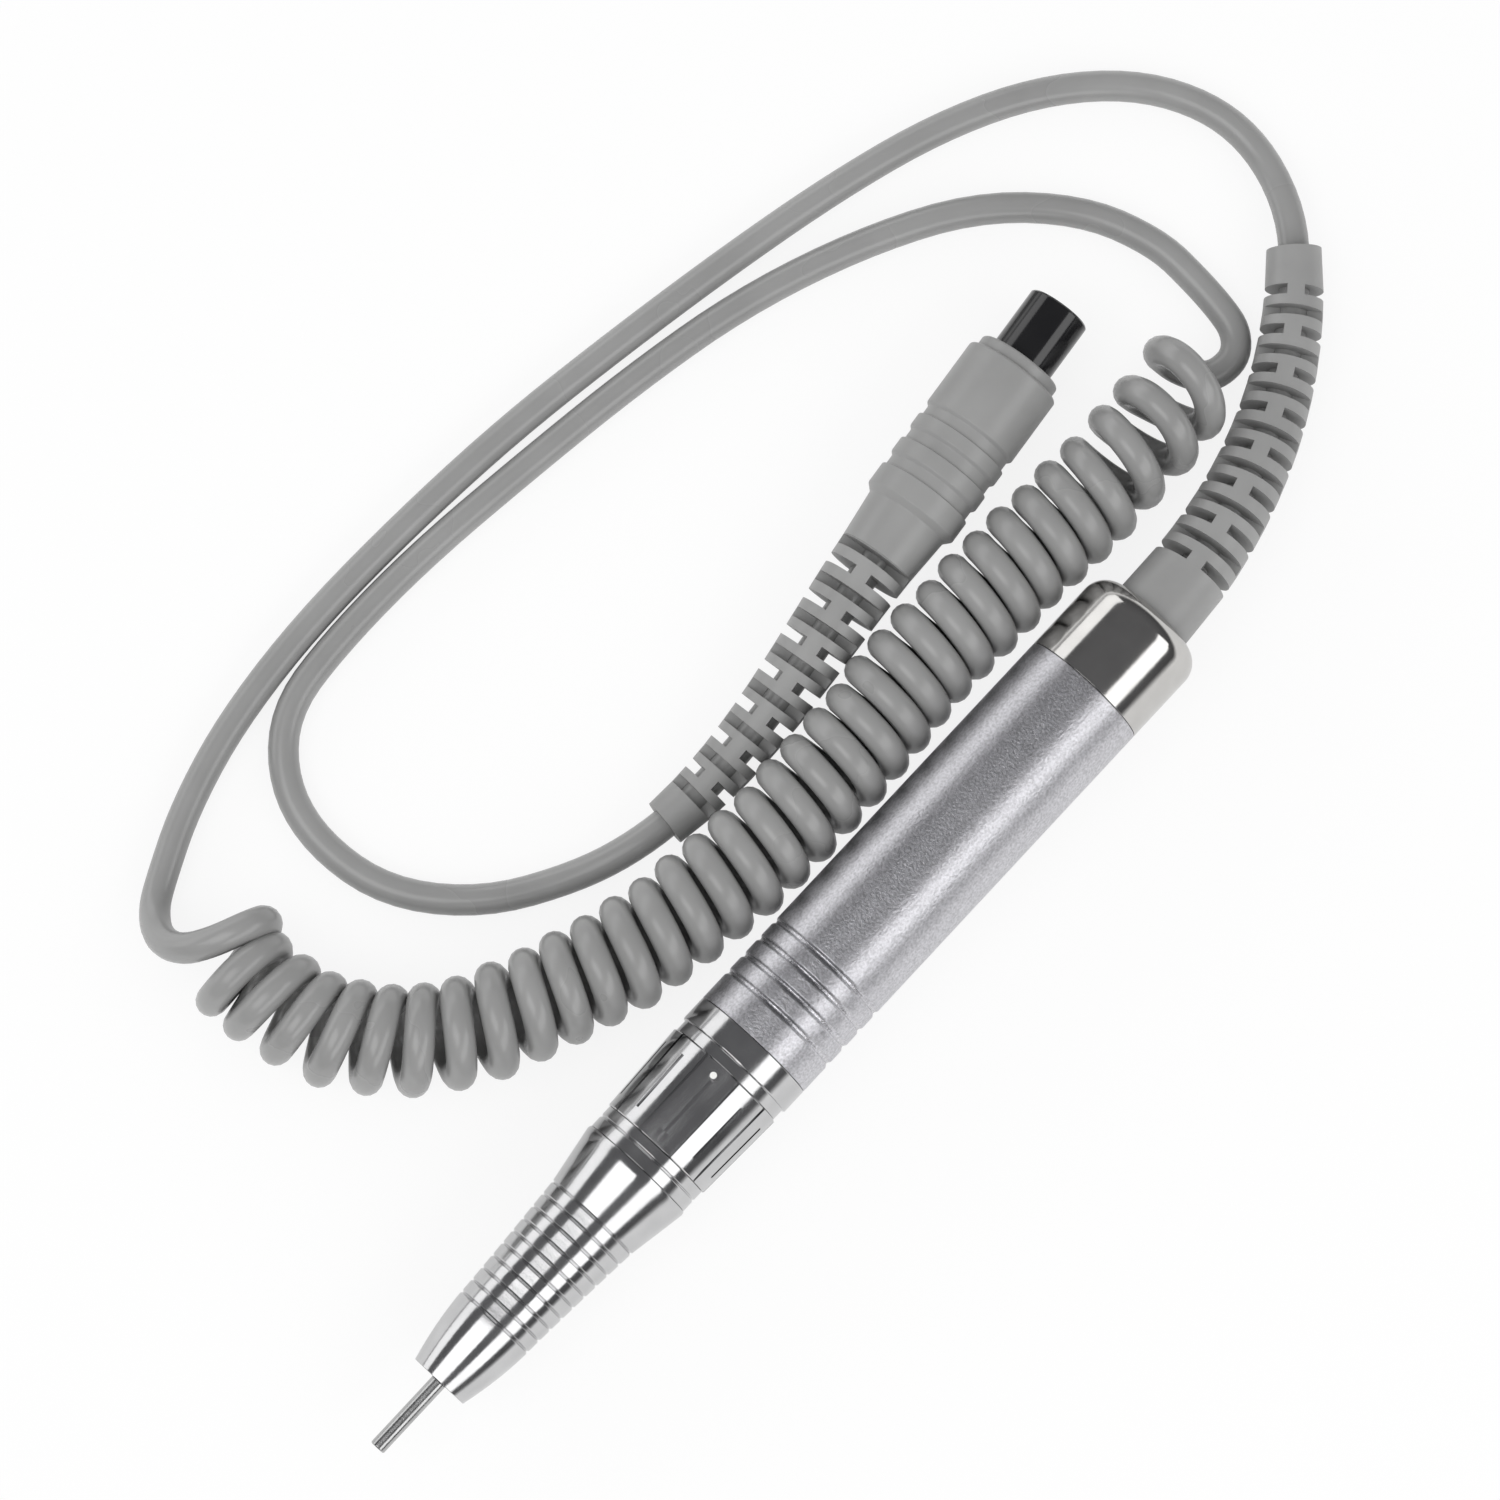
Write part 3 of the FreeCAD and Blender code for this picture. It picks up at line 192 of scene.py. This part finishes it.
def add_group(name, inputs, outputs):
    """A shader node group with its sockets named, and the Object coordinates in it."""
    tree = bpy.data.node_groups.new(name, "ShaderNodeTree")
    for label, kind, value in inputs:
        socket = tree.interface.new_socket(label, in_out="INPUT", socket_type=kind)
        socket.default_value = value
    for label, kind in outputs:
        tree.interface.new_socket(label, in_out="OUTPUT", socket_type=kind)
    given = tree.nodes.new("NodeGroupInput")
    taken = tree.nodes.new("NodeGroupOutput")
    where = tree.nodes.new("ShaderNodeTexCoord")
    return tree, given, taken, where


# Soft mottling: a slow cloudy value between a low and a high one.
cloud, given, taken, where = add_group(
    "cloudy_value",
    [("Scale", "NodeSocketFloat", 90.0), ("Low", "NodeSocketFloat", 0.3),
     ("High", "NodeSocketFloat", 0.5)],
    [("Value", "NodeSocketFloat")])
noise = cloud.nodes.new("ShaderNodeTexNoise")
noise.inputs["Detail"].default_value = 3.0
spread = cloud.nodes.new("ShaderNodeMapRange")
spread.inputs["From Min"].default_value = 0.32
spread.inputs["From Max"].default_value = 0.68
cloud.links.new(where.outputs["Object"], noise.inputs["Vector"])
cloud.links.new(given.outputs["Scale"], noise.inputs["Scale"])
cloud.links.new(noise.outputs["Fac"], spread.inputs["Value"])
cloud.links.new(given.outputs["Low"], spread.inputs["To Min"])
cloud.links.new(given.outputs["High"], spread.inputs["To Max"])
cloud.links.new(spread.outputs["Result"], taken.inputs["Value"])

# Fine skin: tiny bumps all over, as on moulded plastic and blasted metal.
skin, given, taken, where = add_group(
    "fine_skin",
    [("Scale", "NodeSocketFloat", 2500.0), ("Depth", "NodeSocketFloat", 0.15)],
    [("Normal", "NodeSocketVector"), ("Grain", "NodeSocketFloat")])
noise = skin.nodes.new("ShaderNodeTexNoise")
noise.inputs["Detail"].default_value = 4.0
noise.inputs["Roughness"].default_value = 0.65
bump = skin.nodes.new("ShaderNodeBump")
bump.inputs["Distance"].default_value = 0.00008
skin.links.new(where.outputs["Object"], noise.inputs["Vector"])
skin.links.new(given.outputs["Scale"], noise.inputs["Scale"])
skin.links.new(noise.outputs["Fac"], bump.inputs["Height"])
skin.links.new(given.outputs["Depth"], bump.inputs["Strength"])
skin.links.new(bump.outputs["Normal"], taken.inputs["Normal"])
skin.links.new(noise.outputs["Fac"], taken.inputs["Grain"])


TINT_FINER = 1.7


def finish(name, color, clouds, metallic, rough, rough_scale=90.0, skin_scale=2500.0,
           skin_depth=0.15, **more):
    """A material whose colour, roughness and fine surface all vary over the piece."""
    made = bpy.data.materials.new(name)
    made.use_nodes = True
    tree = made.node_tree
    shader = tree.nodes["Principled BSDF"]
    shader.inputs["Metallic"].default_value = metallic
    for label, value in more.items():
        shader.inputs[label.replace("_", " ")].default_value = value
    dull = tree.nodes.new("ShaderNodeGroup")
    dull.node_tree = bpy.data.node_groups["cloudy_value"]
    dull.inputs["Scale"].default_value = rough_scale
    dull.inputs["Low"].default_value = rough[0]
    dull.inputs["High"].default_value = rough[1]
    tree.links.new(dull.outputs["Value"], shader.inputs["Roughness"])
    tint = tree.nodes.new("ShaderNodeGroup")
    tint.node_tree = bpy.data.node_groups["cloudy_value"]
    tint.inputs["Scale"].default_value = rough_scale * TINT_FINER
    tint.inputs["Low"].default_value = 0.0
    tint.inputs["High"].default_value = 1.0
    mix = tree.nodes.new("ShaderNodeMix")
    mix.data_type = "RGBA"
    mix.inputs["A"].default_value = (*color, 1.0)
    mix.inputs["B"].default_value = (*clouds, 1.0)
    tree.links.new(tint.outputs["Value"], mix.inputs["Factor"])
    tree.links.new(mix.outputs["Result"], shader.inputs["Base Color"])
    grain = tree.nodes.new("ShaderNodeGroup")
    grain.node_tree = bpy.data.node_groups["fine_skin"]
    grain.inputs["Scale"].default_value = skin_scale
    grain.inputs["Depth"].default_value = skin_depth
    tree.links.new(grain.outputs["Normal"], shader.inputs["Normal"])
    return made


def dress(mesh, material):
    """Gives a mesh this material alone."""
    mesh.materials.clear()
    mesh.materials.append(material)


sheath = finish("grey_pvc_sheath", color=(0.300, 0.300, 0.298), clouds=(0.265, 0.265, 0.263),
                metallic=0.0, rough=(0.24, 0.34), rough_scale=45.0, skin_scale=1500.0,
                skin_depth=0.10, Coat_Weight=0.35, Coat_Roughness=0.18)
cord.data.materials.append(sheath)
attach(cord, "handpiece")
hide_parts("cord_lead_a", "cord_coil", "cord_lead_b")
for name in ("cord_tail_handpiece", "cord_tail_plug"):
    dress(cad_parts[name].data, sheath)

# ---- Strain relief of the handpiece
# A slotted boot of soft grey PVC moulded on the cord. Its slots alternate side
# to side and top to bottom, and its neck is held in the rear cap.
SHARP_ANGLE = math.radians(35.0)
FLAT_ANGLE = math.radians(0.2)
MERGE_DISTANCE = 2e-6


def rounded_copy(name, node, width, material, body, segments=2):
    """Stands for a turned or moulded part, its edges broken by a round of this width."""
    shape = bmesh.new()
    shape.from_mesh(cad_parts[node].data)
    bmesh.ops.remove_doubles(shape, verts=shape.verts, dist=MERGE_DISTANCE)
    bmesh.ops.dissolve_limit(shape, angle_limit=FLAT_ANGLE, verts=shape.verts,
                             edges=shape.edges)
    for face in shape.faces:
        face.smooth = True
    for edge in shape.edges:
        if len(edge.link_faces) == 2 and edge.calc_face_angle(0.0) > SHARP_ANGLE:
            edge.smooth = False
    mesh = bpy.data.meshes.new(name)
    shape.to_mesh(mesh)
    shape.free()
    piece = bpy.data.objects.new(name, mesh)
    bpy.context.scene.collection.objects.link(piece)
    if width:
        soft = piece.modifiers.new("broken_edges", "BEVEL")
        soft.width = width
        soft.segments = segments
        soft.limit_method = "ANGLE"
        soft.angle_limit = SHARP_ANGLE
        soft.harden_normals = True
    dress(mesh, material)
    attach(piece, body)
    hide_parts(node)
    return piece


boot_pvc = finish("grey_pvc_boot", color=(0.310, 0.310, 0.308), clouds=(0.275, 0.275, 0.273),
                  metallic=0.0, rough=(0.34, 0.44), rough_scale=60.0, skin_scale=1800.0,
                  skin_depth=0.16)
cord_boot = rounded_copy("slotted_cord_boot", "cord_boot", width=0.00038,
                         material=boot_pvc, body="handpiece")

# ---- Plug: boot, grip, front ring
# The plug's grip is moulded over the cord in the same grey PVC, with three
# finger rings and a slotted boot behind it.
grip_pvc = finish("grey_pvc_grip", color=(0.305, 0.305, 0.303), clouds=(0.272, 0.272, 0.270),
                  metallic=0.0, rough=(0.30, 0.40), rough_scale=50.0, skin_scale=1500.0,
                  skin_depth=0.12)
plug_boot = rounded_copy("slotted_plug_boot", "plug_boot", width=0.00034,
                         material=boot_pvc, body="handpiece")
plug_grip = rounded_copy("plug_overmould", "plug_grip", width=0.00015,
                         material=grip_pvc, body="handpiece")
plug_collar = rounded_copy("plug_collar", "plug_front_ring", width=0.00015,
                           material=grip_pvc, body="handpiece")

# ---- Plug: barrel, insert and contacts
# A glossy black barrel goes into the control box's socket; a black carrier
# inside it holds four gold-plated contacts.
barrel_black = finish("black_barrel", color=(0.006, 0.006, 0.007), clouds=(0.010, 0.010, 0.011),
                      metallic=0.0, rough=(0.12, 0.22), skin_scale=900.0, skin_depth=0.05,
                      Coat_Weight=0.4, Coat_Roughness=0.08)
plug_barrel = rounded_copy("plug_barrel", "plug_shell", width=0.00035,
                           material=barrel_black, body="handpiece", segments=3)
dress(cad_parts["plug_insert"].data,
      finish("black_carrier", color=(0.012, 0.012, 0.012), clouds=(0.02, 0.02, 0.02),
             metallic=0.0, rough=(0.4, 0.6)))
dress(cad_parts["plug_contacts"].data,
      finish("gold_contact", color=(0.83, 0.62, 0.25), clouds=(0.75, 0.55, 0.22),
             metallic=1.0, rough=(0.18, 0.3)))

# ---- Nose, neck, lock sleeve and front band
# Turned and polished metal. The sleeve is turned by hand to open the collet,
# and has long and short grooves for grip and a white marker dot.
polished = finish("polished_nickel", color=(0.60, 0.60, 0.605), clouds=(0.55, 0.55, 0.555),
                  metallic=1.0, rough=(0.10, 0.17), rough_scale=160.0, skin_scale=2600.0,
                  skin_depth=0.05)
rounded_copy("ridged_nose", "nose_cone", width=0.00012, material=polished, body="handpiece")
rounded_copy("plain_neck", "spindle_housing", width=0.0001, material=polished, body="handpiece")
rounded_copy("lock_grip_sleeve", "twist_sleeve", width=0.00012, material=polished,
             body="lock_sleeve")
rounded_copy("front_ring_band", "front_band", width=0.00012, material=polished,
             body="handpiece")
dress(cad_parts["sleeve_marker"].data,
      finish("marker_white", color=(0.86, 0.86, 0.84), clouds=(0.78, 0.78, 0.76),
             metallic=0.0, rough=(0.4, 0.5)))

# ---- Body tube
# Aluminium tube, bead-blasted to a fine satin with a faint cool tint; the four
# grip grooves near its front are cut after blasting and stay bright.
AXIS_Z = 0.0095
GROOVE_BRIGHT_R = 0.00932
GROOVE_EDGE = 0.00008
BLAST_SCALE = 2600.0
satin = finish("satin_aluminium_tube", color=(0.66, 0.655, 0.685), clouds=(0.63, 0.625, 0.655),
               metallic=1.0, rough=(0.29, 0.32), rough_scale=40.0, skin_scale=BLAST_SCALE,
               skin_depth=0.9)
tree = satin.node_tree
shader = tree.nodes["Principled BSDF"]
speckle = tree.nodes.new("ShaderNodeGroup")
speckle.node_tree = bpy.data.node_groups["fine_skin"]
speckle.inputs["Scale"].default_value = BLAST_SCALE
darker = tree.nodes.new("ShaderNodeMapRange")
darker.inputs["From Min"].default_value = 0.35
darker.inputs["From Max"].default_value = 0.65
darker.inputs["To Min"].default_value = 0.72
darker.inputs["To Max"].default_value = 1.12
speckled = tree.nodes.new("ShaderNodeVectorMath")
speckled.operation = "SCALE"
cloudy_color = shader.inputs["Base Color"].links[0].from_socket
tree.links.new(speckle.outputs["Grain"], darker.inputs["Value"])
tree.links.new(cloudy_color, speckled.inputs[0])
tree.links.new(darker.outputs["Result"], speckled.inputs["Scale"])
tree.links.new(speckled.outputs["Vector"], shader.inputs["Base Color"])
where = tree.nodes.new("ShaderNodeTexCoord")
off_axis = tree.nodes.new("ShaderNodeVectorMath")
off_axis.operation = "SUBTRACT"
off_axis.inputs[1].default_value = (0.0, 0.0, AXIS_Z)
flatten = tree.nodes.new("ShaderNodeVectorMath")
flatten.operation = "MULTIPLY"
flatten.inputs[1].default_value = (0.0, 1.0, 1.0)
radius = tree.nodes.new("ShaderNodeVectorMath")
radius.operation = "LENGTH"
cut = tree.nodes.new("ShaderNodeMapRange")
cut.inputs["From Min"].default_value = GROOVE_BRIGHT_R
cut.inputs["From Max"].default_value = GROOVE_BRIGHT_R + GROOVE_EDGE
cut.inputs["To Min"].default_value = 0.14
cut.inputs["To Max"].default_value = 0.0
smoother = tree.nodes.new("ShaderNodeMath")
smoother.operation = "SUBTRACT"
smoother.use_clamp = True
cloudy_rough = shader.inputs["Roughness"].links[0].from_socket
tree.links.new(where.outputs["Object"], off_axis.inputs[0])
tree.links.new(off_axis.outputs["Vector"], flatten.inputs[0])
tree.links.new(flatten.outputs["Vector"], radius.inputs[0])
tree.links.new(radius.outputs["Value"], cut.inputs["Value"])
tree.links.new(cloudy_rough, smoother.inputs[0])
tree.links.new(cut.outputs["Result"], smoother.inputs[1])
tree.links.new(smoother.outputs["Value"], shader.inputs["Roughness"])
rounded_copy("satin_body_tube", "body_tube", width=0.00012, material=satin, body="handpiece")

# ---- Rear cap and its O-ring
# Turned brass, plated and polished to a slightly warmer shine than the nose,
# with a generous round where it meets the flat end.
cap_polish = finish("polished_cap", color=(0.61, 0.60, 0.585), clouds=(0.56, 0.55, 0.535),
                    metallic=1.0, rough=(0.09, 0.15), rough_scale=140.0, skin_scale=2600.0,
                    skin_depth=0.04)
rounded_copy("round_rear_cap", "rear_cap", width=0.0001, material=cap_polish, body="handpiece")
dress(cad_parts["cap_o_ring"].data,
      finish("nitrile", color=(0.02, 0.02, 0.02), clouds=(0.03, 0.03, 0.03),
             metallic=0.0, rough=(0.5, 0.65)))

# ---- Blank in the collet
# A plain ground steel shank closes the collet when no bit is fitted.
shank_steel = finish("ground_steel", color=(0.50, 0.50, 0.50), clouds=(0.43, 0.43, 0.43),
                     metallic=1.0, rough=(0.16, 0.26), rough_scale=300.0, skin_depth=0.12)
rounded_copy("shank_blank", "bit_blank", width=0.00015, material=shank_steel, body="bit")

# ---- Parts inside the handpiece
# Collet, spindle, bearings, release ring and the small motor. They are hidden
# at rest, and each has the plain finish of its own metal or moulding.
PLAIN_PARTS = [
    (finish("hardened_steel", color=(0.42, 0.42, 0.43), clouds=(0.36, 0.36, 0.37),
            metallic=1.0, rough=(0.2, 0.32)),
     ["collet", "drawbar", "cross_pin", "spindle", "spindle_dog", "motor_dog", "release_ring",
      "cam_pins", "motor_shaft"]),
    (finish("bearing_steel", color=(0.58, 0.58, 0.59), clouds=(0.52, 0.52, 0.53),
            metallic=1.0, rough=(0.08, 0.16)),
     [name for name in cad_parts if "bearing" in name]),
    (finish("zinc_plate", color=(0.50, 0.51, 0.53), clouds=(0.42, 0.43, 0.46),
            metallic=1.0, rough=(0.3, 0.45)),
     ["motor_can"]),
    (finish("magnet_black", color=(0.05, 0.05, 0.052), clouds=(0.035, 0.035, 0.036),
            metallic=0.0, rough=(0.5, 0.7)),
     ["motor_magnets"]),
    (finish("laminated_iron", color=(0.20, 0.19, 0.18), clouds=(0.15, 0.145, 0.14),
            metallic=1.0, rough=(0.4, 0.6)),
     ["armature_core"]),
    (finish("enamelled_copper", color=(0.48, 0.20, 0.08), clouds=(0.38, 0.15, 0.06),
            metallic=1.0, rough=(0.25, 0.4)),
     ["armature_windings", "commutator"]),
    (finish("end_bell", color=(0.74, 0.72, 0.66), clouds=(0.68, 0.66, 0.60),
            metallic=0.0, rough=(0.4, 0.55)),
     ["brush_holder"]),
    (finish("graphite", color=(0.03, 0.03, 0.032), clouds=(0.05, 0.05, 0.052),
            metallic=0.0, rough=(0.4, 0.6)),
     ["carbon_brushes"]),
    (finish("soft_brass", color=(0.60, 0.44, 0.16), clouds=(0.52, 0.38, 0.14),
            metallic=1.0, rough=(0.25, 0.38)),
     ["brush_springs", "motor_terminals", "motor_clamp_ring", "cord_clamp"]),
    (finish("red_insulation", color=(0.45, 0.02, 0.015), clouds=(0.38, 0.02, 0.015),
            metallic=0.0, rough=(0.35, 0.5)),
     ["lead_wires"]),
]
for material, names in PLAIN_PARTS:
    for name in names:
        dress(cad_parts[name].data, material)

# ---- Spring washers
# A stack of dished steel washers, blued, pulls the collet shut. Turning the
# sleeve pushes the drawbar against it, and the stack flattens a little.
blued = finish("blued_spring", color=(0.16, 0.17, 0.22), clouds=(0.12, 0.13, 0.17),
               metallic=1.0, rough=(0.25, 0.4))
washers = rounded_copy("dished_washers", "spring_washers", width=0.0, material=blued,
                       body="collet")
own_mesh(washers)

# ---- Floor, light and background
# A plain white table under plain soft boxes: one along each side of the
# handpiece and one above its nose, in a pale room.
TABLE_HALF = 6.0
GLOW_TO_CAMERA = 0.86
GLOW_IN_METAL = 0.35
LAMPS_AIM = Vector((0.02, 0.01, 0.0))
floor_mesh = bpy.data.meshes.new("floor")
shape = bmesh.new()
bmesh.ops.create_grid(shape, x_segments=1, y_segments=1, size=TABLE_HALF)
shape.to_mesh(floor_mesh)
shape.free()
floor = bpy.data.objects.new("floor", floor_mesh)
bpy.context.scene.collection.objects.link(floor)
paper = bpy.data.materials.new("white_table")
paper.use_nodes = True
tree = paper.node_tree
shader = tree.nodes["Principled BSDF"]
shader.inputs["Base Color"].default_value = (0.86, 0.86, 0.86, 1.0)
shader.inputs["Roughness"].default_value = 0.9
shader.inputs["Specular IOR Level"].default_value = 0.0
path = tree.nodes.new("ShaderNodeLightPath")
glow = tree.nodes.new("ShaderNodeEmission")
glow.inputs["Strength"].default_value = 1.0
to_camera = tree.nodes.new("ShaderNodeMath")
to_camera.operation = "MULTIPLY"
to_camera.inputs[1].default_value = GLOW_TO_CAMERA
to_both = tree.nodes.new("ShaderNodeMath")
to_both.operation = "MULTIPLY_ADD"
to_both.inputs[1].default_value = GLOW_IN_METAL
blend = tree.nodes.new("ShaderNodeMixShader")
tree.links.new(path.outputs["Is Camera Ray"], to_camera.inputs[0])
tree.links.new(path.outputs["Is Glossy Ray"], to_both.inputs[0])
tree.links.new(to_camera.outputs["Value"], to_both.inputs[2])
tree.links.new(to_both.outputs["Value"], blend.inputs["Fac"])
tree.links.new(shader.outputs["BSDF"], blend.inputs[1])
tree.links.new(glow.outputs["Emission"], blend.inputs[2])
tree.links.new(blend.outputs["Shader"], tree.nodes["Material Output"].inputs["Surface"])
floor_mesh.materials.append(paper)

world = bpy.data.worlds.new("pale_room")
world.use_nodes = True
bpy.context.scene.world = world
tree = world.node_tree
sky = tree.nodes["Background"]
path = tree.nodes.new("ShaderNodeLightPath")
where = tree.nodes.new("ShaderNodeTexCoord")
split = tree.nodes.new("ShaderNodeSeparateXYZ")
room = tree.nodes.new("ShaderNodeValToRGB")
room.color_ramp.elements[0].position = 0.0
room.color_ramp.elements[0].color = (0.80, 0.80, 0.80, 1.0)
room.color_ramp.elements[1].position = 0.14
room.color_ramp.elements[1].color = (0.08, 0.08, 0.083, 1.0)
ceiling = room.color_ramp.elements.new(0.8)
ceiling.color = (0.14, 0.14, 0.145, 1.0)
lit = tree.nodes.new("ShaderNodeMix")
lit.data_type = "RGBA"
lit.inputs["A"].default_value = (0.62, 0.62, 0.62, 1.0)
white = tree.nodes.new("ShaderNodeMix")
white.data_type = "RGBA"
white.inputs["B"].default_value = (1.0, 1.0, 1.0, 1.0)
tree.links.new(where.outputs["Generated"], split.inputs["Vector"])
tree.links.new(split.outputs["Z"], room.inputs["Fac"])
tree.links.new(path.outputs["Is Glossy Ray"], lit.inputs["Factor"])
tree.links.new(room.outputs["Color"], lit.inputs["B"])
tree.links.new(lit.outputs["Result"], white.inputs["A"])
tree.links.new(path.outputs["Is Camera Ray"], white.inputs["Factor"])
tree.links.new(white.outputs["Result"], sky.inputs["Color"])


def soft_box(name, tilt_y, tilt_x, distance, length, width, level):
    """A rectangular lamp facing the object, tilted by these degrees from overhead."""
    slope_x = math.tan(math.radians(tilt_x))
    slope_y = math.tan(math.radians(tilt_y))
    toward = Vector((slope_x, slope_y, 1.0)).normalized()
    lamp = bpy.data.lights.new(name, "AREA")
    lamp.shape = "RECTANGLE"
    lamp.size = length
    lamp.size_y = width
    lamp.energy = level * math.pi * length * width
    holder = bpy.data.objects.new(name, lamp)
    holder.location = LAMPS_AIM + toward * distance
    across = toward.cross(Vector((1, 0, 0))).normalized()
    along = across.cross(toward).normalized()
    holder.rotation_euler = Matrix((along, across, toward)).transposed().to_euler()
    bpy.context.scene.collection.objects.link(holder)


soft_box("box_near_side", tilt_y=-50.0, tilt_x=0.0, distance=0.9, length=1.5, width=0.46,
         level=1.75)
soft_box("box_far_side", tilt_y=70.0, tilt_x=0.0, distance=0.9, length=1.5, width=0.40,
         level=1.35)
soft_box("box_over_nose", tilt_y=9.0, tilt_x=-24.5, distance=1.2, length=0.72, width=0.92,
         level=1.8)

bpy.context.scene.view_settings.view_transform = "Standard"
